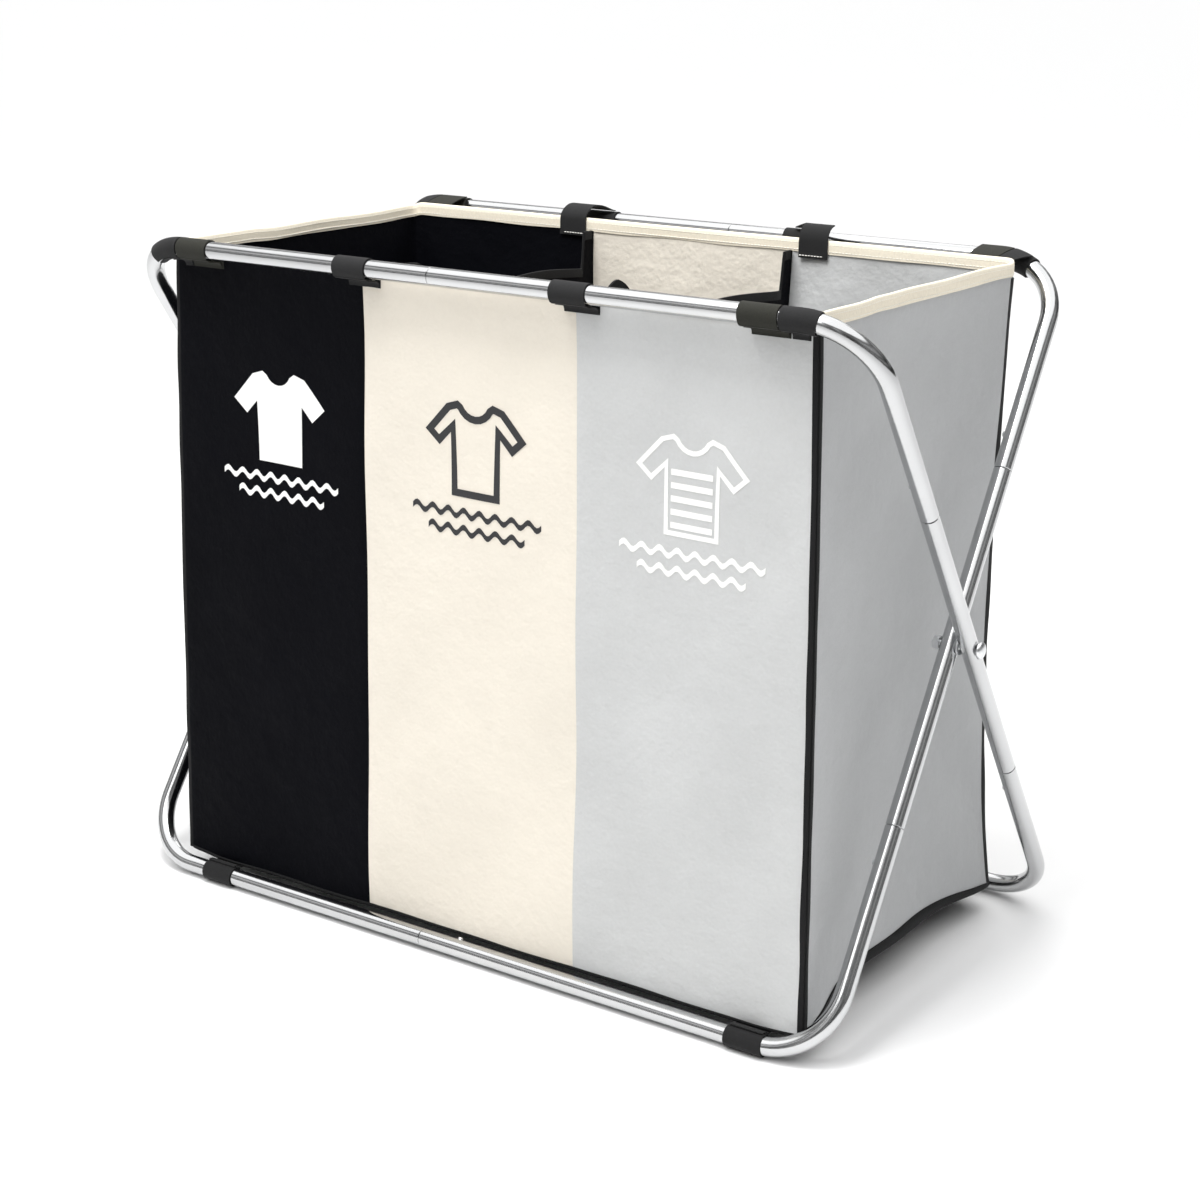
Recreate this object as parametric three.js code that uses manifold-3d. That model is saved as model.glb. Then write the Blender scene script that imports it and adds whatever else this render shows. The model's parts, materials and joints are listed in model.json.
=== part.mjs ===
// Folding laundry sorter with three compartments: two identical tube loops cross as an X and are pinned
// together at both ends, and a fabric bag hangs between their top rails on wrapped straps.
// Millimetres, +Z up, front at -Y, origin on the floor under the middle of the bag.
import * as THREE from "three";
import { mergeVertices } from "three/addons/utils/BufferGeometryUtils.js";
import Module from "manifold-3d";

const wasm = await Module();
wasm.setup();

// ---- Driving dimensions ----

// Tubes
const tubeOuter = 15;
const tubeWall = 1;
const bendRadius = 54.5;
const tubeSides = 16;
const bendSteps = 8;

// Frame: distances between tube centre lines
const railSpacing = 374; // from the front rails to the rear rails
const railRise = 555; // from the bottom rails to the top rails
const loopLength = 697; // from leg to leg of one loop
const loopGap = 2; // between the two loops where they are pinned

// Plug joints between the tubes of a loop
const railSeam = 30; // from the middle of a rail to its seam
const legSeam = 185; // from a rail's centre line to the seam in the leg under it
const swageLength = 48;
const swageClearance = 0.3;
const seamGap = 0.4;

// Snap buttons
const buttonRadius = 2.7;
const buttonProud = 1.8;
const buttonShoulder = 0.4; // straight part that stands out of the tube
const buttonClearance = 0.3;
const railButtonSetback = 36; // from the seam
const legButtonSetback = 30;
const leafLength = 24;
const leafWidth = 4;
const leafThickness = 0.7;
const leafClearance = 0.35; // from the leaf's outer edges to the bore of a swaged end

// Pivot hardware
const boltRadius = 3;
const boltClearance = 0.3;
const boltHeadRadius = 7;
const boltHeadHeight = 4.5;
const boltHeadEdge = 1.1; // straight part under the head's dome
const boltChamfer = 0.5;
const nutAcrossFlats = 10;
const nutHeight = 5;
const boltEnd = 1.5; // thread that stands out of the nut
const spacerRadius = 7;
const spacerClearance = 0.3;

// Fabric
const clothThickness = 1.6;
const strapThickness = 1.6;
const strapWidth = 32;
const rimThickness = 3;
const rimHeight = 11.7;
const fabricGap = 0.3;
const floorThickness = 2;

// Bag, placed from the frame
const bagSideClearance = 28; // from the inner leg's centre line to the bag's side
const bagFrontClearance = 6; // from the strap round the front rail to the bag's front
const bagRearClearance = 17.6; // from the strap round the rear rail to the bag's back
const bagTopRise = 3.6; // from the top rails' centre line up to the rim
const bagFloorLift = 1.2; // from the strap round the bottom rails to the bag's floor
const compartments = 3;
const cornerStrapInset = 8; // from the bag's corner to the middle of its outer strap
const strapPairGap = 0.5;
const tabDrop = 21; // from the top rails' centre line to the end of a strap's tab
const tabRise = 20; // from the bottom rails' centre line to the end of a strap's tab
const tabThickness = 1.5;
const tabRootCover = 1.1; // of sleeve between the tube and the tab's root
const tabRootTop = 1.5; // from the rail's centre line, away from the tab's end
const tabRootFoot = 4.6; // from the rail's centre line, towards the tab's end
const tabBend = 7; // from the rail's centre line to where the tab meets the bag
const cornerTabWidth = 13;

// ---- Derived places ----

const tubeRadius = tubeOuter / 2;
const boreRadius = tubeRadius - tubeWall;
const swageRadius = boreRadius - swageClearance;
const swageBore = swageRadius - tubeWall;
// From the tube's axis to the leaf's outer face, as high as the narrowest bore lets it sit.
const leafHeight = Math.sqrt((swageBore - leafClearance) ** 2 - (leafWidth / 2) ** 2);
const strapRadius = tubeRadius + fabricGap + strapThickness;
const lowRailZ = strapRadius;
const highRailZ = lowRailZ + railRise;
const pivotZ = (lowRailZ + highRailZ) / 2;
const halfLeg = Math.hypot(railSpacing, railRise) / 2;
const lean = Math.atan2(railSpacing, railRise);
const loopShift = (tubeOuter + loopGap) / 2;
const halfLoop = loopLength / 2;
const innerLegX = halfLoop - loopShift;
const outerLegX = halfLoop + loopShift;

const bagHalf = innerLegX - bagSideClearance;
const bagFrontY = -railSpacing / 2 + strapRadius + bagFrontClearance;
const bagRearY = railSpacing / 2 - strapRadius - bagRearClearance;
const bagTopZ = highRailZ + bagTopRise;
const bagFloorZ = lowRailZ + strapRadius + bagFloorLift;
const panelTopZ = bagTopZ - rimHeight - fabricGap;
const compartmentWidth = (2 * bagHalf) / compartments;

// ---- Materials ----

const finish = (color, roughness, metalness) =>
  new THREE.MeshStandardMaterial({ color, roughness, metalness });
const brightTube = finish(0xd4d6d8, 0.18, 1);
const zincSteel = finish(0xc2c4c6, 0.3, 1);
const blackCloth = finish(0x1a1a1c, 0.85, 0);
const creamCloth = finish(0xeee6d2, 0.85, 0);
const greyCloth = finish(0xb9bdbe, 0.85, 0);
const creamTape = finish(0xe8dfc8, 0.9, 0);
const strapTape = finish(0x3a3a39, 0.95, 0);

// ---- Solid helpers ----

// A closed geometry as a solid for joining and cutting.
function solid(geometry) {
  const bare = geometry.clone();
  bare.deleteAttribute("normal");
  bare.deleteAttribute("uv");
  const merged = mergeVertices(bare, 1e-4);
  return new wasm.Manifold(
    new wasm.Mesh({
      numProp: 3,
      vertProperties: new Float32Array(merged.attributes.position.array),
      triVerts: new Uint32Array(merged.index.array),
    }),
  );
}

// A solid back as a geometry with flat faces.
function geometryOf(body) {
  const mesh = body.getMesh();
  const indexed = new THREE.BufferGeometry()
    .setAttribute("position", new THREE.BufferAttribute(mesh.vertProperties, 3))
    .setIndex(new THREE.BufferAttribute(mesh.triVerts, 1));
  const geometry = indexed.toNonIndexed();
  geometry.computeVertexNormals();
  return geometry;
}

function box(x0, x1, y0, y1, z0, z1) {
  return new THREE.BoxGeometry(x1 - x0, y1 - y0, z1 - z0).translate(
    (x0 + x1) / 2,
    (y0 + y1) / 2,
    (z0 + z1) / 2,
  );
}

// A cylinder along X, from x0 to x1.
function rodX(radius, x0, x1, sides = tubeSides) {
  return new THREE.CylinderGeometry(radius, radius, x1 - x0, sides)
    .rotateZ(Math.PI / 2)
    .translate((x0 + x1) / 2, 0, 0);
}

// A regular outline of the given corner radius, its first corner at the angle `phase`.
function ringPoints(radius, phase = 0, sides = tubeSides) {
  return Array.from({ length: sides }, (_, i) => {
    const angle = phase + (i * 2 * Math.PI) / sides;
    return new THREE.Vector2(radius * Math.cos(angle), radius * Math.sin(angle));
  });
}

// A path through stations of its own, each with its point and its tangent.
class StationPath extends THREE.Curve {
  constructor(stations) {
    super();
    this.stations = stations;
  }
  getPointAt(u, target = new THREE.Vector3()) {
    return target.copy(this.stations[Math.round(u * (this.stations.length - 1))].point);
  }
  getTangentAt(u, target = new THREE.Vector3()) {
    return target.copy(this.stations[Math.round(u * (this.stations.length - 1))].tangent);
  }
}

function sweep(shape, stations) {
  return new THREE.ExtrudeGeometry(shape, {
    steps: stations.length - 1,
    bevelEnabled: false,
    extrudePath: new StationPath(stations),
  });
}

// ---- The centre line of a loop's quarter ----

// A loop lies in its own XZ plane with its middle at the origin. A quarter starts in the middle of a rail,
// runs out along it, round the bend and down the leg. `side` is 1 towards +X and `end` is 1 for the rail
// at +Z. `distance` is measured along the line, and may be negative past the rail's middle.
const bendStart = halfLoop - bendRadius;
const bendLength = (bendRadius * Math.PI) / 2;
const legStart = bendStart + bendLength;

function stationAt(distance, side, end) {
  const angle = THREE.MathUtils.clamp((distance - bendStart) / bendRadius, 0, Math.PI / 2);
  const along = Math.min(distance, bendStart) + bendRadius * Math.sin(angle);
  const inward = bendRadius * (1 - Math.cos(angle)) + Math.max(distance - legStart, 0);
  return {
    point: new THREE.Vector3(side * along, 0, end * (halfLeg - inward)),
    tangent: new THREE.Vector3(side * Math.cos(angle), 0, -end * Math.sin(angle)),
  };
}

// Stations from one distance to another, close together only round the bend.
function stationsBetween(from, to, side, end) {
  const distances = [from];
  for (let i = 0; i <= bendSteps; i += 1) {
    const distance = bendStart + (bendLength * i) / bendSteps;
    if (distance > from + 1 && distance < to - 1) distances.push(distance);
  }
  distances.push(to);
  return distances.map((distance) => stationAt(distance, side, end));
}

const roundBar = (radius, from, to, side, end, phase = 0) =>
  solid(sweep(new THREE.Shape(ringPoints(radius, phase)), stationsBetween(from, to, side, end)));

// ---- Tubes ----

// The distance from a rail's middle, round the bend, to a point `drop` under the rail.
const legDistance = (drop) => legStart + drop - bendRadius;

// The way from a tube's axis to the middle of the loop, square to the tube.
const inwardAt = (tangent, side, end) =>
  new THREE.Vector3(-side * Math.abs(tangent.z), 0, -end * Math.abs(tangent.x));

// The hole for a snap button at `distance`, facing the middle of the loop.
function buttonHole(distance, side, end) {
  const { point, tangent } = stationAt(distance, side, end);
  const inward = inwardAt(tangent, side, end);
  const hole = new THREE.CylinderGeometry(
    buttonRadius + buttonClearance,
    buttonRadius + buttonClearance,
    tubeOuter,
    tubeSides,
  );
  hole.applyQuaternion(new THREE.Quaternion().setFromUnitVectors(new THREE.Vector3(0, 1, 0), inward));
  hole.translate(...point.clone().addScaledVector(inward, tubeRadius).toArray());
  return solid(hole);
}

// A corner tube: half a rail, the bend and the top of a leg. The tube whose rail end is the socket carries
// the rail's button hole, and the other one has the swaged end that fits in it.
function cornerTube(side, end, isSocket) {
  const railEnd = isSocket ? -railSeam : railSeam + seamGap;
  const legEnd = legDistance(legSeam);
  let tube = roundBar(tubeRadius, railEnd, legEnd, side, end);
  if (isSocket) {
    tube = tube
      .subtract(roundBar(boreRadius, railEnd - 1, legEnd + 1, side, end))
      .subtract(buttonHole(railButtonSetback - railSeam, side, end));
  } else {
    const tip = railEnd - swageLength;
    const neck = railEnd + tubeWall;
    tube = tube
      .add(roundBar(swageRadius, tip, neck, side, end))
      .subtract(roundBar(swageBore, tip - 1, neck + 1, side, end))
      .subtract(roundBar(boreRadius, neck, legEnd + 1, side, end))
      .subtract(buttonHole(railSeam - railButtonSetback, side, end));
  }
  return geometryOf(tube.subtract(buttonHole(legEnd - legButtonSetback, side, end)));
}

// The straight middle of a leg, swaged at both ends, with the cross hole for the pivot bolt.
function middleLeg() {
  const half = halfLeg - legSeam - seamGap;
  const neck = half - tubeWall;
  const tip = half + swageLength;
  const outline = [
    [swageBore, -tip],
    [swageRadius, -tip],
    [swageRadius, -half],
    [tubeRadius, -half],
    [tubeRadius, half],
    [swageRadius, half],
    [swageRadius, tip],
    [swageBore, tip],
    [swageBore, neck],
    [boreRadius, neck],
    [boreRadius, -neck],
    [swageBore, -neck],
    [swageBore, -tip],
  ].map(([radius, height]) => new THREE.Vector2(radius, height));
  return solid(new THREE.LatheGeometry(outline, tubeSides).rotateX(Math.PI / 2)).subtract(
    solid(rodX(boltRadius + boltClearance, -tubeOuter, tubeOuter)),
  );
}

function middleLegWithHoles(side) {
  let leg = middleLeg();
  for (const end of [1, -1]) {
    const hole = buttonHole(legDistance(legSeam) - legButtonSetback, side, end);
    leg = leg.subtract(hole.translate([-side * halfLoop, 0, 0]));
  }
  return geometryOf(leg);
}

// ---- Snap buttons ----

// A domed pin on a leaf spring, its axis along +Z from the tube's axis, the leaf along X.
function snapButton() {
  const shoulder = tubeRadius + buttonShoulder;
  const crown = tubeRadius + buttonProud;
  const foot = leafHeight - leafThickness / 2;
  const outline = [
    [0, foot],
    [buttonRadius, foot],
    [buttonRadius, shoulder],
    [buttonRadius * Math.SQRT1_2, shoulder + (crown - shoulder) * Math.SQRT1_2],
    [0, crown],
  ].map(([radius, height]) => new THREE.Vector2(radius, height));
  const pin = new THREE.LatheGeometry(outline, 12).rotateX(Math.PI / 2);
  const leaf = box(
    -leafLength / 2,
    leafLength / 2,
    -leafWidth / 2,
    leafWidth / 2,
    leafHeight - leafThickness,
    leafHeight,
  );
  return geometryOf(solid(pin).add(solid(leaf)));
}

// ---- Straps ----

// A strap's outline has a flat that faces the floor whatever way its loop leans.
const flatToCorner = 1 / Math.cos(Math.PI / tubeSides);

// The tab's outline beside a rail's centre line: `reach` away it lies on the bag's face, and it ends at
// `length` below the rail (way -1) or above it (way 1).
function tabOutline(reach, length, way) {
  const face = reach - fabricGap;
  return [
    [tubeRadius + tabRootCover, -tabRootTop * way],
    [face, tabBend * way],
    [face, length * way],
    [face - tabThickness, length * way],
    [face - tabThickness, (tabBend + 2 * tabThickness) * way],
    [tubeRadius, tabRootFoot * way],
  ];
}

// The tab of a strap, as it stands in the upright frame of its loop, moved into the loop's own frame.
function strapTab(from, to, side, end, reach) {
  const length = end > 0 ? tabDrop : tabRise;
  const towardsBag = end;
  const railY = (-end * railSpacing) / 2;
  const railZ = end > 0 ? highRailZ : lowRailZ;
  const outline = tabOutline(reach, length, -end).map(
    ([out, up]) => new THREE.Vector2(railY + towardsBag * out, railZ + up),
  );
  const tab = new THREE.ExtrudeGeometry(new THREE.Shape(outline), {
    depth: to - from,
    bevelEnabled: false,
  });
  const alongX = new THREE.Vector3(1, 0, 0);
  const upright = new THREE.Matrix4().makeBasis(
    new THREE.Vector3(0, 1, 0),
    new THREE.Vector3(0, 0, 1),
    alongX,
  );
  tab.applyMatrix4(upright);
  tab.translate(loopShift + (side > 0 ? from : -to), 0, 0);
  return tab.applyMatrix4(new THREE.Matrix4().copy(loopPlacement).invert());
}

// A strap wrapped round a rail between two distances from its middle, with a tab on the bag.
function wrappedStrap({ from, to, tabTo = to, side, end, reach }) {
  const phase = -side * lean + Math.PI / tubeSides;
  const sleeve = roundBar(strapRadius * flatToCorner, from, to, side, end, phase);
  const bore = roundBar(tubeRadius + fabricGap, from - 1, to + 1, side, end);
  return geometryOf(sleeve.add(solid(strapTab(from, tabTo, side, end, reach))).subtract(bore));
}

// On a bend a strap ends where the tube's own facets meet, so that it keeps its gap to the tube.
function snapToBend(distance) {
  if (distance <= bendStart) return distance;
  const step = bendLength / bendSteps;
  return bendStart + Math.round((distance - bendStart) / step) * step;
}

// ---- Scene graph ----

const sorter = new THREE.Group();

function addMesh(parent, name, geometry, material) {
  const mesh = new THREE.Mesh(geometry, material);
  mesh.name = name;
  parent.add(mesh);
  return mesh;
}

// A loop's frame: its middle at the pivot's height, shifted sideways so that it clears the other loop,
// leaning so that its top rail is at the front.
const loopPlacement = new THREE.Matrix4()
  .makeTranslation(loopShift, 0, pivotZ)
  .multiply(new THREE.Matrix4().makeRotationX(lean));

// Each loop has its place names, the turn about Z that sets it in the frame, and the distance from its
// top and bottom rails to the bag's face.
const frontReach = strapRadius + bagFrontClearance;
const rearReach = strapRadius + bagRearClearance;
const loops = [
  {
    letter: "a",
    turn: 0,
    sides: { 1: "right", [-1]: "left" },
    rails: { 1: "front_top", [-1]: "rear_bottom" },
    reach: { 1: frontReach, [-1]: rearReach },
  },
  {
    letter: "b",
    turn: Math.PI,
    sides: { 1: "left", [-1]: "right" },
    rails: { 1: "rear_top", [-1]: "front_bottom" },
    reach: { 1: rearReach, [-1]: frontReach },
  },
];

function addTubes(frame, loop) {
  for (const side of [1, -1]) {
    for (const end of [1, -1]) {
      const name = `${loop.rails[end]}_${loop.sides[side]}_tube`;
      addMesh(frame, name, cornerTube(side, end, side === end), brightTube);
    }
    const legName = `leg_${loop.letter}_${loop.sides[side]}`;
    addMesh(frame, legName, middleLegWithHoles(side), brightTube).position.x = side * halfLoop;
  }
}

function addButton(frame, name, distance, side, end) {
  const { point, tangent } = stationAt(distance, side, end);
  const inward = inwardAt(tangent, side, end);
  const button = addMesh(frame, name, snapButton(), zincSteel);
  button.position.copy(point);
  button.setRotationFromMatrix(
    new THREE.Matrix4().makeBasis(tangent, inward.clone().cross(tangent), inward),
  );
}

function addButtons(frame, loop) {
  for (const end of [1, -1]) {
    addButton(frame, `button_${loop.rails[end]}_rail`, railButtonSetback - railSeam, end, end);
    for (const side of [1, -1]) {
      const name = `button_${loop.rails[end]}_${loop.sides[side]}`;
      addButton(frame, name, legDistance(legSeam) - legButtonSetback, side, end);
    }
  }
}

function addStraps(frame, loop) {
  for (const side of [1, -1]) {
    const shift = -side * loopShift;
    const sideName = loop.sides[side];
    const cornerFrom = snapToBend(bagHalf - cornerStrapInset - strapWidth / 2 + shift);
    const cornerTo = snapToBend(cornerFrom + strapWidth);
    const pairTo = Math.min(cornerFrom, bendStart) - strapPairGap;
    const dividerMiddle = compartmentWidth / 2 + shift;
    const place = (name, from, to, end, tabTo) =>
      addMesh(
        frame,
        name,
        wrappedStrap({ from, to, tabTo, side, end, reach: loop.reach[end] }),
        strapTape,
      );
    const top = `strap_${loop.rails[1]}`;
    const bottom = `strap_${loop.rails[-1]}`;
    place(`${top}_corner_${sideName}`, cornerFrom, cornerTo, 1, cornerFrom + cornerTabWidth);
    place(`${top}_side_${sideName}`, pairTo - strapWidth, pairTo, 1);
    const dividerFrom = dividerMiddle - strapWidth / 2;
    place(`${top}_divider_${sideName}`, dividerFrom, dividerFrom + strapWidth, 1);
    place(`${bottom}_${sideName}`, pairTo - strapWidth, pairTo, -1);
  }
}

for (const loop of loops) {
  const turned = new THREE.Group();
  turned.rotation.z = loop.turn;
  const frame = new THREE.Group();
  frame.applyMatrix4(loopPlacement);
  turned.add(frame);
  sorter.add(turned);
  addTubes(frame, loop);
  addButtons(frame, loop);
  addStraps(frame, loop);
}

// ---- Pivot hardware ----

// A domed bolt along X, its head's underside at the origin.
function pivotBolt() {
  const shank = 2 * tubeOuter + loopGap + 2 * seamGap + nutHeight + boltEnd;
  const dome = Array.from({ length: 4 }, (_, i) => {
    const angle = (i * Math.PI) / 6;
    const height = boltHeadEdge + (boltHeadHeight - boltHeadEdge) * Math.sin(angle);
    return [i < 3 ? boltHeadRadius * Math.cos(angle) : 0, height];
  });
  const outline = [
    [0, -shank],
    [boltRadius - boltChamfer, -shank],
    [boltRadius, -shank + boltChamfer],
    [boltRadius, 0],
    [boltHeadRadius, 0],
    ...dome,
  ].map(([radius, height]) => new THREE.Vector2(radius, height));
  return geometryOf(solid(new THREE.LatheGeometry(outline, tubeSides).rotateZ(-Math.PI / 2)));
}

function boredDisc(radius, from, to, sides) {
  return geometryOf(
    solid(rodX(radius, from, to, sides)).subtract(
      solid(rodX(boltRadius + boltClearance, from - 1, to + 1)),
    ),
  );
}

for (const [sideName, turn] of [
  ["right", 0],
  ["left", Math.PI],
]) {
  const pivot = new THREE.Group();
  pivot.position.z = pivotZ;
  pivot.rotation.z = turn;
  sorter.add(pivot);
  const bolt = addMesh(pivot, `pivot_bolt_${sideName}`, pivotBolt(), zincSteel);
  bolt.position.x = outerLegX + tubeRadius + seamGap;
  const halfSpacer = loopGap / 2 - spacerClearance;
  const spacer = boredDisc(spacerRadius, halfLoop - halfSpacer, halfLoop + halfSpacer, tubeSides);
  addMesh(pivot, `pivot_spacer_${sideName}`, spacer, zincSteel);
  const nutFace = innerLegX - tubeRadius - seamGap;
  const nutRadius = nutAcrossFlats / 2 / Math.cos(Math.PI / 6);
  const nut = boredDisc(nutRadius, nutFace - nutHeight, nutFace, 6);
  addMesh(pivot, `pivot_nut_${sideName}`, nut, zincSteel);
}

// ---- Bag ----

const clothColours = [blackCloth, creamCloth, greyCloth];
const compartmentNames = ["dark", "light", "colour"];
const panelEdges = Array.from({ length: compartments + 1 }, (_, i) => i * compartmentWidth - bagHalf);
const insideFrontY = bagFrontY + clothThickness + fabricGap;
const insideRearY = bagRearY - clothThickness - fabricGap;
const insideHalf = bagHalf - clothThickness - fabricGap;

compartmentNames.forEach((name, i) => {
  const left = panelEdges[i] + (i > 0 ? fabricGap / 2 : 0);
  const right = panelEdges[i + 1] - (i < compartments - 1 ? fabricGap / 2 : 0);
  const front = box(left, right, bagFrontY, bagFrontY + clothThickness, bagFloorZ, panelTopZ);
  const rear = box(left, right, bagRearY - clothThickness, bagRearY, bagFloorZ, panelTopZ);
  addMesh(sorter, `front_panel_${name}`, front, clothColours[i]);
  addMesh(sorter, `rear_panel_${name}`, rear, clothColours[i]);
});

for (const [sideName, side, material] of [
  ["left", -1, blackCloth],
  ["right", 1, greyCloth],
]) {
  const edges = [side * bagHalf, side * (bagHalf - clothThickness)].sort((a, b) => a - b);
  const panel = box(...edges, insideFrontY, insideRearY, bagFloorZ, panelTopZ);
  addMesh(sorter, `side_panel_${sideName}`, panel, material);
  const middle = (side * compartmentWidth) / 2;
  const divider = box(
    middle - clothThickness / 2,
    middle + clothThickness / 2,
    insideFrontY,
    insideRearY,
    bagFloorZ + floorThickness + fabricGap,
    panelTopZ,
  );
  addMesh(sorter, `divider_${sideName}`, divider, blackCloth);
}

const floor = box(
  -insideHalf,
  insideHalf,
  insideFrontY,
  insideRearY,
  bagFloorZ,
  bagFloorZ + floorThickness,
);
addMesh(sorter, "bag_floor", floor, blackCloth);

const rimOuter = box(-bagHalf, bagHalf, bagFrontY, bagRearY, bagTopZ - rimHeight, bagTopZ);
const rimInner = box(
  rimThickness - bagHalf,
  bagHalf - rimThickness,
  bagFrontY + rimThickness,
  bagRearY - rimThickness,
  bagTopZ - rimHeight - 1,
  bagTopZ + 1,
);
addMesh(sorter, "rim_tape", geometryOf(solid(rimOuter).subtract(solid(rimInner))), creamTape);

export default sorter;
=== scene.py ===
"""Folding laundry sorter: bright tube loops crossed as an X, with a three-colour cloth bag between their top
rails. Everything is in metres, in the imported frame: +X to the right, +Y to the rear, +Z up."""

import json
import math
import random

import bpy
import numpy as np
from mathutils import Matrix, Vector
from mathutils.geometry import delaunay_2d_cdt


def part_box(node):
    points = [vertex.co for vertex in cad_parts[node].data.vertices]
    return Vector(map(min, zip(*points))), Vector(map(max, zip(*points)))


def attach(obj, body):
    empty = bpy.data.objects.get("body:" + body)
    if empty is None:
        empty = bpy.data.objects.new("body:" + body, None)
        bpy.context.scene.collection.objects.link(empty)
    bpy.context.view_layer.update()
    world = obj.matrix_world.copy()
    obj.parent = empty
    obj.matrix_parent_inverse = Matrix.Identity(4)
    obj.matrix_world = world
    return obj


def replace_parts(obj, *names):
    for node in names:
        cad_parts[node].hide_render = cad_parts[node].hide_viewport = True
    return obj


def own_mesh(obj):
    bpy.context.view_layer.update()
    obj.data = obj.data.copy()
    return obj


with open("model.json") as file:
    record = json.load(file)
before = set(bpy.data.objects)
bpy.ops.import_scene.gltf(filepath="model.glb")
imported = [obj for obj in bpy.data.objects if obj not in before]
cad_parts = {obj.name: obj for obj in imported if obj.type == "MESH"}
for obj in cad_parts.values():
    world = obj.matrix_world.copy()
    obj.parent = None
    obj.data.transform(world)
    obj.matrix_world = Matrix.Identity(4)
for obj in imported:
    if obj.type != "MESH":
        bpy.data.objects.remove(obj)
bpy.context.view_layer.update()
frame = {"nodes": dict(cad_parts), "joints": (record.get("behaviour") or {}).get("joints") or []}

MM = 0.001
PI = math.pi

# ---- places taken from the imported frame


def middle(node):
    low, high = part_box(node)
    return (low + high) / 2


PIVOT_Z = middle("leg_a_right").z
TUBE_R = (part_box("leg_a_right")[1].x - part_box("leg_a_right")[0].x) / 2
LOOP_SHIFT = (middle("leg_a_right").x - middle("leg_b_right").x) / 2
HALF_LOOP = middle("leg_a_right").x - LOOP_SHIFT
UP_A = Vector(next(j["axis"] for j in frame["joints"] if j["name"] == "press_front_top_rail"))
LEAN = math.atan2(-UP_A.y, UP_A.z)
PIVOT = Vector((0, 0, PIVOT_Z))
HALF_LEG = max((v.co - PIVOT).dot(UP_A) for v in frame["nodes"]["front_top_left_tube"].data.vertices) - TUBE_R

# The tubes' own sizes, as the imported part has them.
BEND_R = 54.5 * MM
TUBE_WALL = 1.0 * MM
RAIL_SEAM = 30 * MM
LEG_SEAM = 185 * MM
SEAM_GAP = 0.4 * MM
SWAGE_R = 6.2 * MM
SWAGE_LENGTH = 48 * MM
CHAMFER = 0.45 * MM
RAIL_BUTTON = 6 * MM
LEG_BUTTON_RISE = 30 * MM

BEND_START = HALF_LOOP - BEND_R
BEND_LENGTH = BEND_R * PI / 2
LEG_START = BEND_START + BEND_LENGTH

LOOPS = {
    "a": {
        "body": "loop_a",
        "turn": 0.0,
        "side": {1: "right", -1: "left"},
        "rail": {1: "front_top", -1: "rear_bottom"},
    },
    "b": {
        "body": "loop_b",
        "turn": PI,
        "side": {1: "left", -1: "right"},
        "rail": {1: "rear_top", -1: "front_bottom"},
    },
}


def loop_matrix(loop):
    turn = Matrix.Rotation(LOOPS[loop]["turn"], 4, "Z")
    lift = Matrix.Translation((LOOP_SHIFT, 0, PIVOT_Z))
    return turn @ lift @ Matrix.Rotation(LEAN, 4, "X")


def station(loop, distance, side, end):
    """A point on a loop's centre line, with its tangent and the way to the loop's middle. The distance runs
    from the middle of a rail, out round the bend and down the leg."""
    angle = min(max((distance - BEND_START) / BEND_R, 0), PI / 2)
    along = min(distance, BEND_START) + BEND_R * math.sin(angle)
    inward = BEND_R * (1 - math.cos(angle)) + max(distance - LEG_START, 0)
    place = loop_matrix(loop)
    point = place @ Vector((side * along, 0, end * (HALF_LEG - inward)))
    turned = place.to_3x3()
    tangent = turned @ Vector((side * math.cos(angle), 0, -end * math.sin(angle)))
    inside = turned @ Vector((-side * math.sin(angle), 0, -end * math.cos(angle)))
    return point, tangent, inside


# ---- mesh helpers


class Build:
    """Gathers points and faces of several closed shells for one piece."""

    def __init__(self):
        self.points, self.faces = [], []

    def add(self, points, faces):
        first = len(self.points)
        self.points.extend(points)
        self.faces.extend(tuple(first + i for i in f) for f in faces)

    def sweep(self, rings, closed=False):
        """Joins rings of the same number of points. The two end rings are joined too, or else capped."""
        count = len(rings[0])
        total = len(rings) * count
        faces = []
        for a in range(0, total if closed else total - count, count):
            b = (a + count) % total
            faces += [(a + k, a + (k + 1) % count, b + (k + 1) % count, b + k) for k in range(count)]
        if not closed:
            faces.append(tuple(reversed(range(count))))
            faces.append(tuple(range(total - count, total)))
        self.add([p for ring in rings for p in ring], faces)

    def piece(self, name, material, sharp=180):
        """Edges steeper than sharp, in degrees, stay crisp: at 0 all faces are flat, at 180 all is smooth."""
        mesh = bpy.data.meshes.new(name)
        mesh.from_pydata([tuple(p) for p in self.points], [], self.faces)
        mesh.validate()
        mesh.materials.append(material)
        mesh.polygons.foreach_set("use_smooth", [sharp > 0] * len(mesh.polygons))
        mesh.update()
        if 0 < sharp < 180:
            mesh.set_sharp_from_angle(angle=math.radians(sharp))
        piece = bpy.data.objects.new(name, mesh)
        bpy.context.scene.collection.objects.link(piece)
        return piece


def circle(centre, across, up, radius, sides):
    turns = (2 * PI * k / sides for k in range(sides))
    return [centre + across * (radius * math.cos(a)) + up * (radius * math.sin(a)) for a in turns]


def lathe(profile, base, axis, sides):
    """A closed turned shape from (radius, height) pairs that start and end on the axis."""
    across = axis.orthogonal().normalized()
    up = axis.cross(across)
    build = Build()
    build.sweep([circle(base + axis * h, across, up, max(r, 1e-6), sides) for r, h in profile])
    return build


def smoothstep(x):
    x = min(max(x, 0.0), 1.0)
    return x * x * (3 - 2 * x)


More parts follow.
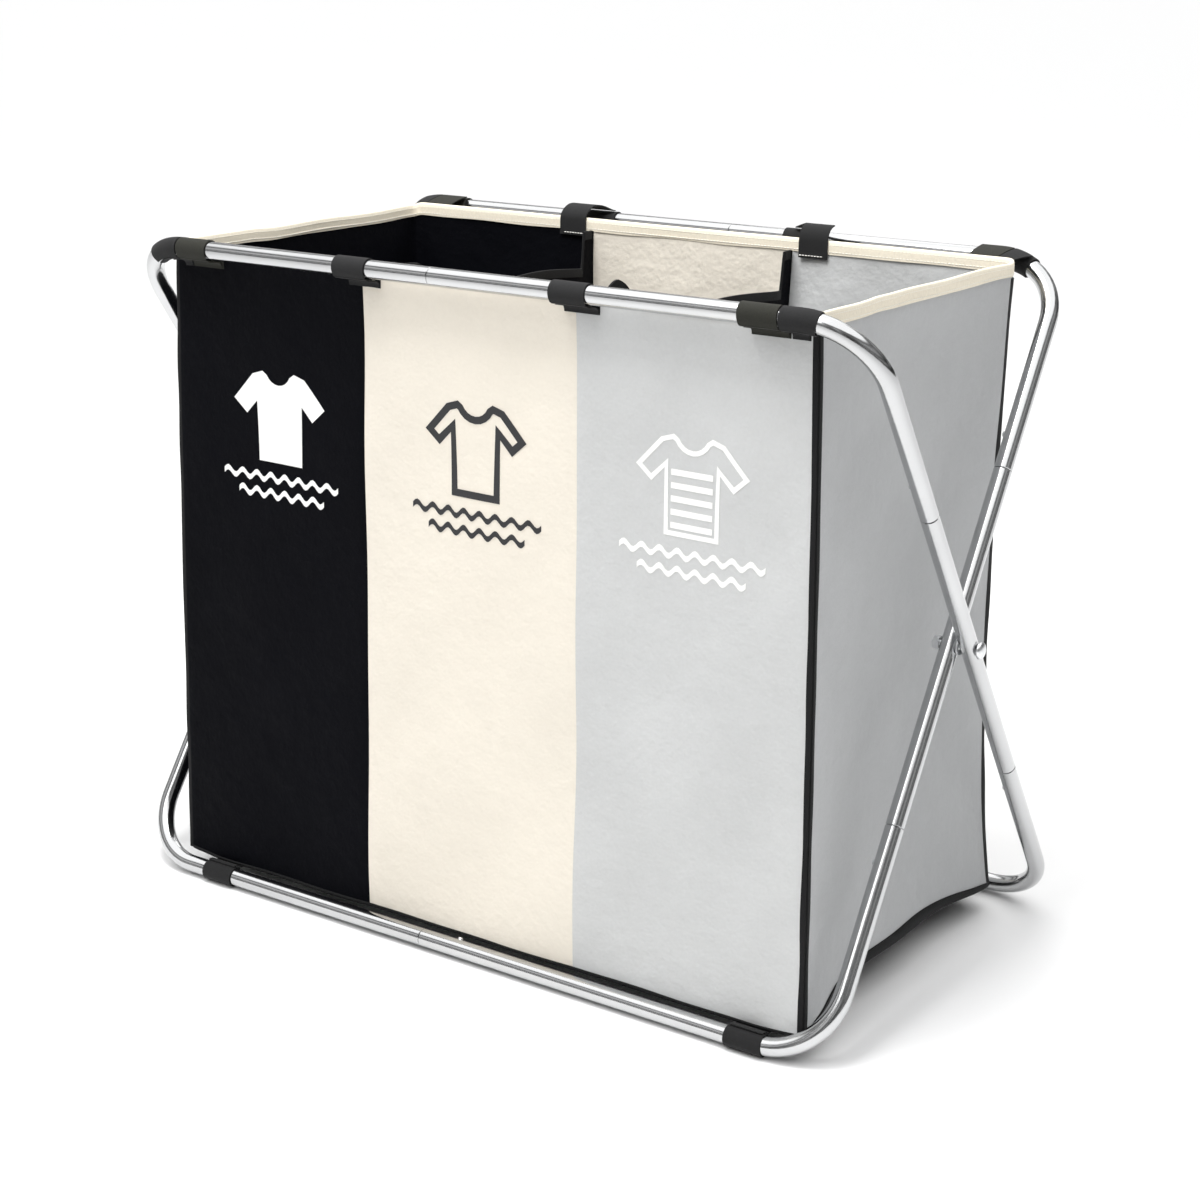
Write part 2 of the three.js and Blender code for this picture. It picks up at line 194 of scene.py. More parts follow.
def wander(seed, waves=5):
    """A smooth seeded function of two lengths in metres, of about unit size."""
    draw = random.Random(seed)
    terms = []
    for _ in range(waves):
        size, pace = draw.uniform(0.5, 1.0), draw.uniform(12, 55) * draw.choice((-1, 1))
        terms.append((size, pace, draw.uniform(10, 48), draw.uniform(0, 2 * PI)))
    scale = 1 / sum(t[0] for t in terms) * 1.6
    return lambda u, v: scale * sum(a * math.sin(p * u + q * v + f) for a, p, q, f in terms)


# ---- materials


class Graph:
    """The node tree of a material or of the sky."""

    def __init__(self, owner):
        owner.use_nodes = True
        self.nodes, self.links = owner.node_tree.nodes, owner.node_tree.links

    def fill(self, socket, value):
        """Gives a socket a plain value, or links another node's output to it."""
        if isinstance(value, bpy.types.NodeSocket):
            self.links.new(value, socket)
        else:
            socket.default_value = value

    def set(self, node, **sockets):
        for name, value in sockets.items():
            self.fill(node.inputs[name.replace("_", " ")], value)

    def node(self, kind, **sockets):
        node = self.nodes.new("ShaderNode" + kind)
        self.set(node, **sockets)
        return node

    def math(self, kind, *values):
        node = self.node("Math")
        node.operation = kind
        for socket, value in zip(node.inputs, values):
            self.fill(socket, value)
        return node.outputs[0]

    def ramp(self, value, stops):
        node = self.node("ValToRGB", Fac=value)
        elements = node.color_ramp.elements
        for element, (at, colour) in zip(elements, (stops[0], stops[-1])):
            element.position = at
            element.color = (*colour, 1)
        for at, colour in stops[1:-1]:
            elements.new(at).color = (*colour, 1)
        return node.outputs["Color"]


class Shader(Graph):
    """A Principled material with helpers for its nodes."""

    def __init__(self, name, colour, roughness, metallic=0.0, **sockets):
        self.material = bpy.data.materials.new(name)
        super().__init__(self.material)
        self.bsdf = self.nodes["Principled BSDF"]
        self.set(self.bsdf, Base_Color=(*colour, 1), Roughness=roughness, Metallic=metallic, **sockets)
        self.place = self.node("TexCoord").outputs["Object"]

    def noise(self, scale, detail=3.0, stretch=None, roughness=0.5):
        place = self.place
        if stretch:
            place = self.node("Mapping", Vector=place, Scale=stretch).outputs["Vector"]
        noise = self.node("TexNoise", Vector=place, Scale=scale, Detail=detail, Roughness=roughness)
        return noise.outputs["Fac"]

    def colour(self, value):
        self.set(self.bsdf, Base_Color=value)

    def rough(self, value, low, high):
        self.set(self.bsdf, Roughness=self.node("MapRange", Value=value, To_Min=low, To_Max=high).outputs[0])

    def bump(self, value, distance, strength, after=None):
        node = self.node("Bump", Height=value, Distance=distance, Strength=strength)
        if after is not None:
            self.set(node, Normal=after)
        self.set(self.bsdf, Normal=node.outputs["Normal"])
        return node.outputs["Normal"]

    def weave(self, pitch):
        """Over and under threads: one set runs upright, the other goes round the bag."""
        split = self.node("SeparateXYZ", Vector=self.place)
        around = self.math("ADD", split.outputs["X"], split.outputs["Y"])
        k = PI / pitch
        warp = self.math("SINE", self.math("MULTIPLY", around, k))
        weft = self.math("SINE", self.math("MULTIPLY", split.outputs["Z"], k))
        return self.math("MULTIPLY", warp, weft)


THREAD_PITCH = 0.55 * MM


def shade(colour, factor):
    return tuple(min(c * factor, 1.0) for c in colour)


def cloth_material(name, colour, spread, roughness, sheen, gloss=0.35):
    s = Shader(name, colour, roughness, Sheen_Weight=sheen, Sheen_Roughness=0.45, Specular_IOR_Level=gloss)
    mottle = s.noise(9, 4, roughness=0.6)
    fine = s.noise(420, 3)
    mixed = s.math("ADD", s.math("MULTIPLY", mottle, 0.7), s.math("MULTIPLY", fine, 0.3))
    s.colour(s.ramp(mixed, [(0.3, shade(colour, 1 - spread)), (0.7, shade(colour, 1 + spread))]))
    s.rough(s.noise(60, 3), roughness - 0.08, roughness + 0.08)
    broad = s.bump(s.noise(11, 5, roughness=0.62), 8 * MM, 0.7)
    crumple = s.bump(s.noise(45, 4, roughness=0.6), 1.6 * MM, 0.5, broad)
    s.bump(s.weave(THREAD_PITCH), 0.12 * MM, 0.7, crumple)
    return s.material


def tape_material(name, colour, spread=0.1, roughness=0.85, grain=900, depth=0.25 * MM):
    s = Shader(name, colour, roughness, Sheen_Weight=0.05, Sheen_Roughness=0.5, Specular_IOR_Level=0.2)
    nap = s.noise(grain, 4, roughness=0.7)
    s.colour(s.ramp(nap, [(0.25, shade(colour, 1 - 2 * spread)), (0.75, shade(colour, 1 + 2 * spread))]))
    lumps = s.bump(s.noise(90, 3), 0.6 * MM, 0.35)
    s.bump(nap, depth, 0.7, lumps)
    return s.material


def tube_material():
    s = Shader("bright_tube", (0.56, 0.565, 0.57), 0.16, 1.0)
    drawn = s.noise(30, 4, stretch=(0.4, 3, 3))
    s.rough(drawn, 0.10, 0.22)
    s.colour(s.ramp(s.noise(8, 3), [(0.3, (0.52, 0.525, 0.53)), (0.7, (0.60, 0.605, 0.61))]))
    s.bump(s.noise(160, 3, stretch=(0.25, 2, 2)), 0.06 * MM, 0.3)
    return s.material


def zinc_material():
    s = Shader("zinc_steel", (0.72, 0.73, 0.74), 0.28, 1.0)
    s.rough(s.noise(120, 4), 0.2, 0.4)
    s.colour(s.ramp(s.noise(300, 3), [(0.3, (0.66, 0.67, 0.68)), (0.7, (0.78, 0.79, 0.8))]))
    s.bump(s.noise(700, 3), 0.05 * MM, 0.4)
    return s.material


# Materials, each with the record's slot that it takes.
TUBE = (tube_material(), "bright_tube")
ZINC = (zinc_material(), "zinc_steel")
CLOTHS = {
    "dark": (cloth_material("black_cloth", (0.0025, 0.0027, 0.0042), 0.15, 0.65, 0.003, 0.04), "black_cloth"),
    "light": (cloth_material("cream_cloth", (0.80, 0.745, 0.65), 0.035, 0.8, 0.1), "cream_cloth"),
    "colour": (cloth_material("grey_cloth", (0.565, 0.572, 0.57), 0.06, 0.66, 0.2), "grey_cloth"),
    # The right side wall's grey is the grey cloth made darker: painted shade for the wall that turns away
    # from the light.
    "side": (cloth_material("side_grey_cloth_painted_shade", (0.47, 0.478, 0.485), 0.06, 0.66, 0.2), "grey_cloth"),
}

# Tapes, thread and ink.
cream_tape = tape_material("cream_tape", (0.87, 0.80, 0.66), 0.04, grain=500)
black_tape = tape_material("black_tape", (0.0065, 0.0065, 0.007), 0.15, 0.8, 700)
strap_charcoal = tape_material("strap_charcoal", (0.0155, 0.0155, 0.016), 0.16, 0.85, 1100, 0.3 * MM)
strap_olive = tape_material("strap_olive", (0.022, 0.022, 0.0175), 0.16, 0.85, 1100, 0.3 * MM)
white_thread = tape_material("white_thread", (0.85, 0.83, 0.78), 0.05, 0.7, 2500, 0.1 * MM)
cream_thread = tape_material("cream_thread", (0.95, 0.92, 0.84), 0.02, 0.6, 2500, 0.1 * MM)
white_print = tape_material("white_print", (0.86, 0.86, 0.84), 0.03, 0.6, 800, 0.08 * MM)
dark_print = tape_material("dark_print", (0.035, 0.035, 0.037), 0.06, 0.6, 800, 0.08 * MM)

# ---- tubes

TUBE_SIDES = 40


def leg_distance(drop):
    return LEG_START + drop - BEND_R


def tube_stations(start, stop):
    """Distances along a tube, close together only round the bend."""
    inside = [BEND_START + BEND_LENGTH * i / 14 for i in range(15)]
    return [d for d in inside if start < d < stop]


def corner_tube(loop, side, end, is_socket):
    """A bent tube with its bore. Its plug end is swaged down to fit the socket."""
    start = -RAIL_SEAM if is_socket else RAIL_SEAM + SEAM_GAP
    stop = leg_distance(LEG_SEAM)
    bore = TUBE_R - TUBE_WALL
    outer = [(start + CHAMFER, TUBE_R)]
    outer += [(d, TUBE_R) for d in tube_stations(start + CHAMFER, stop - CHAMFER)]
    outer += [(stop - CHAMFER, TUBE_R), (stop, TUBE_R - CHAMFER), (stop, bore)]
    inner = [(d, bore) for d in reversed(tube_stations(start, stop))]
    if is_socket:
        profile = [(start, bore), (start, TUBE_R - CHAMFER)] + outer + inner
    else:
        tip = start - SWAGE_LENGTH
        thin = SWAGE_R - TUBE_WALL
        profile = [(tip, thin), (tip, SWAGE_R), (start, SWAGE_R), (start, TUBE_R - CHAMFER)]
        profile += outer + inner + [(start + TUBE_WALL, bore), (start + TUBE_WALL, thin)]
    plane = loop_matrix(loop).to_3x3() @ Vector((0, 1, 0))
    rings = []
    for distance, radius in profile:
        point, tangent, inside = station(loop, distance, side, end)
        across = plane if tangent.cross(inside).dot(plane) > 0 else -plane
        rings.append(circle(point, inside, across, radius, TUBE_SIDES))
    build = Build()
    build.sweep(rings, closed=True)
    return build, f"{LOOPS[loop]['rail'][end]}_{LOOPS[loop]['side'][side]}_tube"


def middle_leg(loop, side):
    half = HALF_LEG - LEG_SEAM - SEAM_GAP
    tip = half + SWAGE_LENGTH
    bore, thin = TUBE_R - TUBE_WALL, SWAGE_R - TUBE_WALL
    rise = [(thin, -tip), (SWAGE_R, -tip), (SWAGE_R, -half)]
    rise += [(TUBE_R - CHAMFER, -half), (TUBE_R, CHAMFER - half)]
    rise += [(r, -h) for r, h in reversed(rise)]
    inner = [(thin, half - TUBE_WALL), (bore, half - TUBE_WALL)]
    rise += inner + [(r, -h) for r, h in reversed(inner)]
    place = loop_matrix(loop)
    turned = place.to_3x3()
    along, across, up = (turned @ Vector(v) for v in ((0, 0, 1), (1, 0, 0), (0, 1, 0)))
    centre = place @ Vector((side * HALF_LOOP, 0, 0))
    build = Build()
    build.sweep([circle(centre + along * h, across, up, r, TUBE_SIDES) for r, h in rise], closed=True)
    return build, f"leg_{loop}_{LOOPS[loop]['side'][side]}"


def stand_in(piece, body, node):
    """The piece moves with a body and is seen instead of a CAD node."""
    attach(piece, body)
    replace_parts(piece, node)


def finish_solid(build, name, material, slot_name, body):
    piece = build.piece(f"{name}_shown", material, 35)
    mesh = piece.data
    mesh.calc_loop_triangles()
    corners = [[mesh.vertices[i].co for i in t.vertices] for t in mesh.loop_triangles]
    if sum(a.dot(b.cross(c)) for a, b, c in corners) < 0:
        mesh.flip_normals()
    stand_in(piece, body, name)


for loop, facts in LOOPS.items():
    for side in (1, -1):
        for end in (1, -1):
            finish_solid(*corner_tube(loop, side, end, side == end), *TUBE, facts["body"])
        finish_solid(*middle_leg(loop, side), *TUBE, facts["body"])

# ---- snap buttons and pivot hardware


def dome(radius, base, height, first_angle, steps):
    """The (radius, height) pairs of a round crown."""
    angles = np.linspace(first_angle, PI / 2, steps)
    return [(radius * math.cos(a), base + height * math.sin(a)) for a in angles]


def snap_button(loop, distance, side, end, name):
    """A pin with a round crown on its leaf spring, seen from outside as a small dome."""
    point, tangent, inside = station(loop, distance, side, end)
    pin, base, shoulder = 2.7 * MM, 4.05 * MM, TUBE_R + 0.2 * MM
    profile = [(0, base), (pin, base), (pin, shoulder)] + dome(pin, shoulder, 1.6 * MM, 0.15, 7)
    build = lathe(profile, point, inside, 28)
    wide = tangent.cross(inside)
    corners = [
        point + inside * h + tangent * (u * MM) + wide * (w * MM)
        for h in (3.7 * MM, 4.4 * MM)
        for u, w in ((-12, -2), (12, -2), (12, 2), (-12, 2))
    ]
    build.add(corners, [(3, 2, 1, 0), (4, 5, 6, 7), (0, 1, 5, 4), (1, 2, 6, 5), (2, 3, 7, 6), (3, 0, 4, 7)])
    finish_solid(build, name, *ZINC, name)


for loop, facts in LOOPS.items():
    for end in (1, -1):
        rail = facts["rail"][end]
        snap_button(loop, RAIL_BUTTON, end, end, f"button_{rail}_rail")
        for side in (1, -1):
            at = leg_distance(LEG_SEAM) - LEG_BUTTON_RISE
            snap_button(loop, at, side, end, f"button_{rail}_{facts['side'][side]}")


def pivot_bolt(sign, name):
    """A bolt with a domed head outside the legs."""
    low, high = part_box(name)
    tip = Vector((min(low.x * sign, high.x * sign) * sign, 0, PIVOT_Z))
    length = high.x - low.x
    head, shank, edge = (high.z - low.z) / 2, 3 * MM, 0.3 * MM
    under = length - 4.5 * MM
    profile = [(0, 0), (shank - 0.4 * MM, 0), (shank, 0.5 * MM), (shank, under)]
    profile += [(head - edge, under), (head, under + edge)] + dome(head, under + 1.2 * MM, 3.3 * MM, 0, 9)
    finish_solid(lathe(profile, tip, Vector((sign, 0, 0)), 40), name, *ZINC, "pivot_pins")


pivot_bolt(1, "pivot_bolt_right")
pivot_bolt(-1, "pivot_bolt_left")
for node in frame["nodes"].values():
    if node.name.startswith(("pivot_nut", "pivot_spacer")):
        node.data.materials.clear()
        node.data.materials.append(ZINC[0])

# ---- the bag's walls

BAG_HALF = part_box("side_panel_right")[1].x
FRONT_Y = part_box("front_panel_light")[0].y
REAR_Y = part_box("rear_panel_light")[1].y
RIM_LOW, RIM_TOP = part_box("rim_tape")[0].z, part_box("rim_tape")[1].z
RIM_HEIGHT = RIM_TOP - RIM_LOW
FLOOR_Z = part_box("bag_floor")[0].z
SEAM_X = middle("divider_right").x

CLOTH = 1.0 * MM
CORNER_R = 6 * MM
PANEL_COLUMNS = 36
SIDE_COLUMNS = 56
ROWS = 96
REAR_PULL = 9 * MM
WALLS = ("front", "right", "rear", "left")

# The waves of each wall's cloth: a seed and a size.
WAVES = {"front": (23, 2.1 * MM), "right": (11, 3.4 * MM), "rear": (37, 2.4 * MM), "left": (41, 3.0 * MM)}
RIPPLES = {wall: wander(seed) for wall, (seed, _) in WAVES.items()}
SEAM_PULL = 1.1 * MM
SIDE_ARCH = 13 * MM


def bag_corners(v):
    """The bag's four corners at height share v, in the order of WALLS. The rear ones draw in half way up."""
    bow = math.sin(PI * v**0.75)
    front_half = BAG_HALF + 5 * MM * (1 - v) - 3 * MM * v**4
    rear_half = BAG_HALF + 4 * MM * (1 - v) - 7 * MM * bow
    front = FRONT_Y - 4.5 * MM * (1 - v)
    rear = REAR_Y - REAR_PULL * v**2 - 11 * MM * bow
    return (-front_half, front), (front_half, front), (rear_half, rear), (-rear_half, rear)


def rim_sag(wall, u):
    """How much lower than the rim's height a wall's top edge is at share u of its width."""
    if wall == "rear":
        return -1 * MM
    if wall == "front":
        return 1.6 * MM * abs(math.sin(3 * PI * u))
    fore = u if wall == "left" else 1 - u
    return (1.6 - 0.5 * math.sin(5 * PI * u + 1) - 0.9 * math.exp(-(((fore - 0.72) / 0.05) ** 2))) * MM


def wall_point(wall, u, v):
    """A point of a wall at share u of its width, seen from outside, and share v of its height."""
    number = WALLS.index(wall)
    corners = bag_corners(v)
    begin, end = Vector(corners[number]), Vector(corners[(number + 1) % 4])
    length = (end - begin).length
    direction = (end - begin) / length
    along = u * length
    nearest = min(along, length - along)
    inward = 0.0
    if nearest < CORNER_R:
        turn = PI / 4 * (1 - nearest / CORNER_R)
        edge = CORNER_R * (1 - math.sin(turn))
        along = edge if u < 0.5 else length - edge
        inward = CORNER_R * (1 - math.cos(turn))
    # The waves are calm beside the corners and under the rim.
    calm = smoothstep(nearest / (40 * MM))
    tight = smoothstep((1 - v) / 0.12) * 0.75 + 0.25
    inward += RIPPLES[wall](along - length / 2, v * (RIM_TOP - FLOOR_Z)) * WAVES[wall][1] * calm * tight
    low, arch = FLOOR_Z - 0.5 * MM, math.sin(PI * u)
    if wall in ("front", "rear"):
        inward += 1.5 * MM * arch * math.sin(PI * v)
        for seam in (-SEAM_X, SEAM_X):
            gap = abs(along - length / 2 - seam)
            inward += SEAM_PULL * math.exp(-((gap / (2.2 * MM)) ** 2))
            inward -= 1.6 * MM * math.exp(-((gap / (26 * MM)) ** 2)) * smoothstep((v - 0.8) / 0.2)
        low -= 2.6 * MM * smoothstep(nearest / (50 * MM))
    else:
        fore = u if wall == "left" else 1 - u
        inward += arch * (4 * MM + 8 * MM * math.sin(PI * v) + 5 * MM * (1 - v))
        inward += 4 * MM * math.sin(PI * fore) * math.sin(PI * min(fore * 1.6, 1)) * smoothstep(1 - v) * v * 4
        low += SIDE_ARCH * arch
    place = begin + direction * along + Vector((-direction.y, direction.x)) * inward
    return (place.x, place.y, low + (RIM_TOP - rim_sag(wall, u) - low) * v)


def wall_grid(wall):
    """Rows of points from the bottom up. The long walls have a column of points on each seam."""
    us = np.linspace(0, 1, SIDE_COLUMNS + 1)
    if wall in ("front", "rear"):
        seam = (BAG_HALF - SEAM_X) / (2 * BAG_HALF)
        stops = (0, seam, 1 - seam, 1)
        us = [np.linspace(a, b, PANEL_COLUMNS + 1)[:-1] for a, b in zip(stops, stops[1:])]
        us = np.append(np.concatenate(us), 1)
    return np.array([[wall_point(wall, u, v) for u in us] for v in np.linspace(0, 1, ROWS + 1)])


grids = {wall: wall_grid(wall) for wall in WALLS}


def normals_of(grid):
    along, up = np.gradient(grid, axis=1), np.gradient(grid, axis=0)
    normal = np.cross(along, up)
    return normal / np.linalg.norm(normal, axis=2, keepdims=True)


def shell(grid, thickness, normal=None):
    """Points and faces of a thin closed shell about a grid of points."""
    normal = normals_of(grid) if normal is None else normal
    rows, columns = grid.shape[:2]
    outer = (grid + normal * thickness / 2).reshape(-1, 3)
    inner = (grid - normal * thickness / 2).reshape(-1, 3)
    count = rows * columns
    at = np.arange(count).reshape(rows, columns)
    quads = np.stack([at[:-1, :-1], at[:-1, 1:], at[1:, 1:], at[1:, :-1]], axis=-1).reshape(-1, 4)
    rim = list(at[0, :-1]) + list(at[:-1, -1]) + list(at[-1, :0:-1]) + list(at[:0:-1, 0])
    edge = [(a, a + count, b + count, b) for a, b in zip(rim, rim[1:] + rim[:1])]
    faces = [tuple(q) for q in quads.tolist()]
    faces += [tuple(c + count for c in reversed(q)) for q in quads.tolist()]
    faces += [tuple(int(i) for i in e) for e in edge]
    return np.vstack([outer, inner]).tolist(), faces


def on_bag(piece):
    """A piece of the bag moves with it."""
    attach(piece, "bag")
    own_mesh(piece)
    return piece


def cloth_piece(name, grid, material, slot_name, held="hung", rests_on=("rim_tape_shown",)):
    build = Build()
    build.add(*shell(grid, CLOTH))
    piece = on_bag(build.piece(f"{name}_cloth", material, 50))
    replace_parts(piece, name)


# ---- rim tape

RIM_SIDES = 1.7 * MM


def smooth_loop(points):
    """Each point of a closed line moves to the middle of itself and its two neighbours."""
    return sum(np.roll(points, k, axis=0) for k in range(-1, 2)) / 3


def ways_out(line):
    """The level way out of the bag at each point of a line round it."""
    along = np.roll(line, -1, axis=0) - np.roll(line, 1, axis=0)
    out = np.stack([along[:, 1], -along[:, 0], np.zeros(len(line))], axis=1)
    return out / np.linalg.norm(out, axis=1, keepdims=True)


def rim_line():
    """The line of the rim's top edge, once round, with the way out of the bag at each point."""
    ring = np.vstack([grids[wall][-1, :-1] for wall in WALLS])
    halfway = ring + (np.roll(ring, -1, axis=0) - ring) / 2
    line = smooth_loop(smooth_loop(np.stack([ring, halfway], axis=1).reshape(-1, 3)))
    return line, ways_out(line)


rim_points, rim_out = rim_line()


def rim_tape():
    """A tape folded over the top edge of the cloth, with small kinks."""
    kinks = wander(5, 7)
    rise = 1.2 * MM
    rings = []
    for i, (point, out) in enumerate(zip(rim_points, rim_out)):
        s = i * 2.9 * MM
        low = -RIM_HEIGHT + 0.5 * MM * kinks(s * 1.5, 0)
        lean = 0.35 * MM * kinks(0, s)
        right_half = [(RIM_SIDES, low), (RIM_SIDES + 0.15 * MM, low / 2), (RIM_SIDES, -1.4 * MM)]
        right_half.append((1.1 * MM, -0.35 * MM))
        section = right_half + [(0, 0)] + [(-n, h) for n, h in reversed(right_half)]
        section += [(-0.8 * MM, low), (-0.75 * MM, -1.6 * MM), (0.75 * MM, -1.6 * MM), (0.8 * MM, low)]
        centre, way, up = Vector(point), Vector(out), Vector((0, 0, 1))
        rings.append([centre + way * (n + lean * (-h / RIM_HEIGHT)) + up * (h + rise) for n, h in section])
    build = Build()
    build.sweep(rings, closed=True)
    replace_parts(on_bag(build.piece("rim_tape_shown", cream_tape, 60)), "rim_tape")


def stitch(build, start, finish, normal, width):
    """One thread stitch lying on a surface."""
    way = (finish - start).normalized()
    across = normal.cross(way).normalized()
    rings = []
    for share, size in ((0.0, 0.35), (0.2, 1.0), (0.8, 1.0), (1.0, 0.35)):
        centre = start.lerp(finish, share)
        half = across * (width / 2 * size)
        low, high = normal * width * 0.3, normal * width * 0.45 * size
        rings.append([centre + a * half + b for a, b in ((1, -low), (0.6, high), (-0.6, high), (-1, -low))])
    build.sweep(rings)


def stitch_row(build, points, normals, pitch, width, length=2.3 * MM):
    """Stitches in a row along a line of points."""
    points, normals = [Vector(p) for p in points], [Vector(n) for n in normals]
    ends = np.concatenate([[0], np.cumsum([(b - a).length for a, b in zip(points, points[1:])])])

    def at(distance):
        i = min(max(int(np.searchsorted(ends, distance) - 1), 0), len(points) - 2)
        share = (distance - ends[i]) / (ends[i + 1] - ends[i])
        return points[i].lerp(points[i + 1], share), normals[i].lerp(normals[i + 1], share).normalized()

    for k in range(int((ends[-1] - length) / pitch)):
        start, normal = at(k * pitch)
        finish, _ = at(k * pitch + length)
        stitch(build, start, finish, normal, width)


def rim_stitches():
    build = Build()
    for sign in (1, -1):
        for height, width in ((-RIM_HEIGHT + 3.4 * MM, 0.8 * MM), (-2.6 * MM, 0.5 * MM)):
            face = rim_points + rim_out * sign * (RIM_SIDES + 0.12 * MM) + np.array([0, 0, height])
            face = np.vstack([face, face[:1]])
            stitch_row(build, face, np.vstack([rim_out, rim_out[:1]]) * sign, 3.2 * MM, width)
    on_bag(build.piece("rim_stitching", cream_thread))


rim_tape()
rim_stitches()

# ---- wall panels

for wall, order in (("front", ("dark", "light", "colour")), ("rear", ("colour", "light", "dark"))):
    for i, name in enumerate(order):
        columns = slice(i * PANEL_COLUMNS, (i + 1) * PANEL_COLUMNS + 1)
        cloth_piece(f"{wall}_panel_{name}", grids[wall][:, columns], *CLOTHS[name])
# The right side wall takes the darker copy of the grey cloth, which is painted shade.
cloth_piece("side_panel_right", grids["right"], *CLOTHS["side"])
cloth_piece("side_panel_left", grids["left"], *CLOTHS["dark"])

# ---- floor and dividers


def floor_grid():
    """The bag's floor spans the lower edges of the four walls and sags a little."""
    front, rear = grids["front"][0], grids["rear"][0][::-1]
    left, right = grids["left"][0][::-1], grids["right"][0]
    rows, columns = len(left), len(front)
    a = np.linspace(0, 1, columns)[None, :, None]
    b = np.linspace(0, 1, rows)[:, None, None]
    bilinear = (1 - a) * (1 - b) * front[0] + a * (1 - b) * front[-1]
    bilinear = bilinear + (1 - a) * b * rear[0] + a * b * rear[-1]
    patch = (1 - b) * front[None] + b * rear[None] + (1 - a) * left[:, None] + a * right[:, None] - bilinear
    ripple = wander(61)
    for i in range(rows):
        for j in range(columns):
            edge = min(i, rows - 1 - i, j, columns - 1 - j) / 8
            patch[i, j, 2] += (1 * MM * ripple(patch[i, j, 0], patch[i, j, 1]) - 2 * MM) * smoothstep(edge)
    return patch


bag_floor = floor_grid()
cloth_piece("bag_floor", bag_floor, *CLOTHS["dark"], "stretched", ["strap_front_bottom_right_strap"])

DIVIDER_TOP = RIM_TOP - 38 * MM
DIVIDER_COLUMNS = 80


def divider_top(y, flop):
    """Height of a divider's top edge: low between the walls, with a neck up to the rim at each end."""
    height = DIVIDER_TOP + 4 * MM * math.sin((y + 0.02) * 22) - 3 * MM
    front_neck = smoothstep((-0.078 - y) / 0.030)
    hump = math.exp(-(((y + 0.121) / 0.014) ** 2)) * flop
    rear_neck = smoothstep((y - (REAR_Y - REAR_PULL - 0.020)) / 0.004)
    neck_top = RIM_TOP - 9 * MM
    height += (neck_top - height) * max(front_neck * 0.95, rear_neck)
    return height + hump * 8 * MM


def divider_grid(side, seed, flop):
    """A divider hangs between the front and rear seams, with its columns closer together at the two ends."""
    seam = PANEL_COLUMNS * 2 if side > 0 else PANEL_COLUMNS
    front, rear = grids["front"][:, seam], grids["rear"][:, -1 - seam]
    ripple = wander(seed)
    us = np.linspace(0, 1, DIVIDER_COLUMNS + 1)
    us = us - 0.6 * np.sin(2 * PI * us) / (2 * PI)
    inset = 0.7 * MM
    grid = np.zeros((ROWS + 1, DIVIDER_COLUMNS + 1, 3))
    for j, u in enumerate(us):
        floor = bag_floor[int(round(u * (len(bag_floor) - 1))), seam][2] + 1.0 * MM
        top = divider_top(front[-1][1] + u * (rear[-1][1] - front[-1][1]), flop)
        calm = smoothstep(min(u, 1 - u) / 0.12)
        for i, v in enumerate(np.linspace(0, 1, ROWS + 1)):
            z = floor + (top - floor) * v
            row = min(max((z - FLOOR_Z) / (RIM_TOP - FLOOR_Z), 0), 1) * ROWS
            k = min(int(row), ROWS - 1)
            start = front[k] + (front[k + 1] - front[k]) * (row - k)
            stop = rear[k] + (rear[k + 1] - rear[k]) * (row - k)
            y = start[1] + inset + (stop[1] - start[1] - 2 * inset) * u
            x = start[0] + (stop[0] - start[0]) * u + ripple(y, z) * 5 * MM * calm
            x += side * 2.5 * MM * math.sin(PI * u) * math.sin(PI * v)
            grid[i, j] = (x, y, z)
    return grid


dividers = {}
for side, side_name, seed, flop in ((1, "right", 71, 1.0), (-1, "left", 83, 0.3)):
    dividers[side_name] = divider_grid(side, seed, flop)
    supports = ["rim_tape_shown", "bag_floor_cloth"]
    cloth_piece(f"divider_{side_name}", dividers[side_name], *CLOTHS["dark"], rests_on=supports)

# ---- corner bindings and bottom hem


def corner_binding(first, second):
    """A folded tape down the edge between two walls, from the rim to the bottom."""
    a, b = grids[first], grids[second]
    na, nb = normals_of(a), normals_of(b)
    wobble = wander(len(first) * 7 + len(second), 6)
    arm = (6.0 if "rear" in (first, second) else 3.6) * MM
    lines, outs = [], []
    for i in range(ROWS - 1):
        corner, out = a[i, -1], na[i, -1] + nb[i, 0]
        z = corner[2]
        reach = arm + 0.45 * MM * wobble(z * 1.4, 0)
        halves = []
        for cloth, way in ((a[i, -3], na[i, -3]), (b[i, 2], nb[i, 2])):
            span = cloth - corner
            tip = corner + span / np.linalg.norm(span) * reach
            shares = (0.0, 0.3, 0.62, 0.86)
            halves.append([(tip + (corner - tip) * k, way + (out / 1.414 - way) * k**3) for k in shares])
        row = halves[0] + [(corner, out)] + halves[1][::-1]
        ways = [way / np.linalg.norm(way) for _, way in row]
        swell = 0.5 * MM * (1 + wobble(0, z * 2))
        row = [p + way * swell * math.sin(PI * k / 8) for k, ((p, _), way) in enumerate(zip(row, ways))]
        row[4] = row[4] - ways[4] * 1.3 * MM
        lines.append(row)
        outs.append(ways)
    outs = np.array(outs)
    build = Build()
    build.add(*shell(np.array(lines) + outs * (0.95 * MM), 0.9 * MM, outs))
    on_bag(build.piece(f"binding_{first}_{second}", black_tape, 50))


for first, second in zip(WALLS, WALLS[1:] + WALLS[:1]):
    corner_binding(first, second)


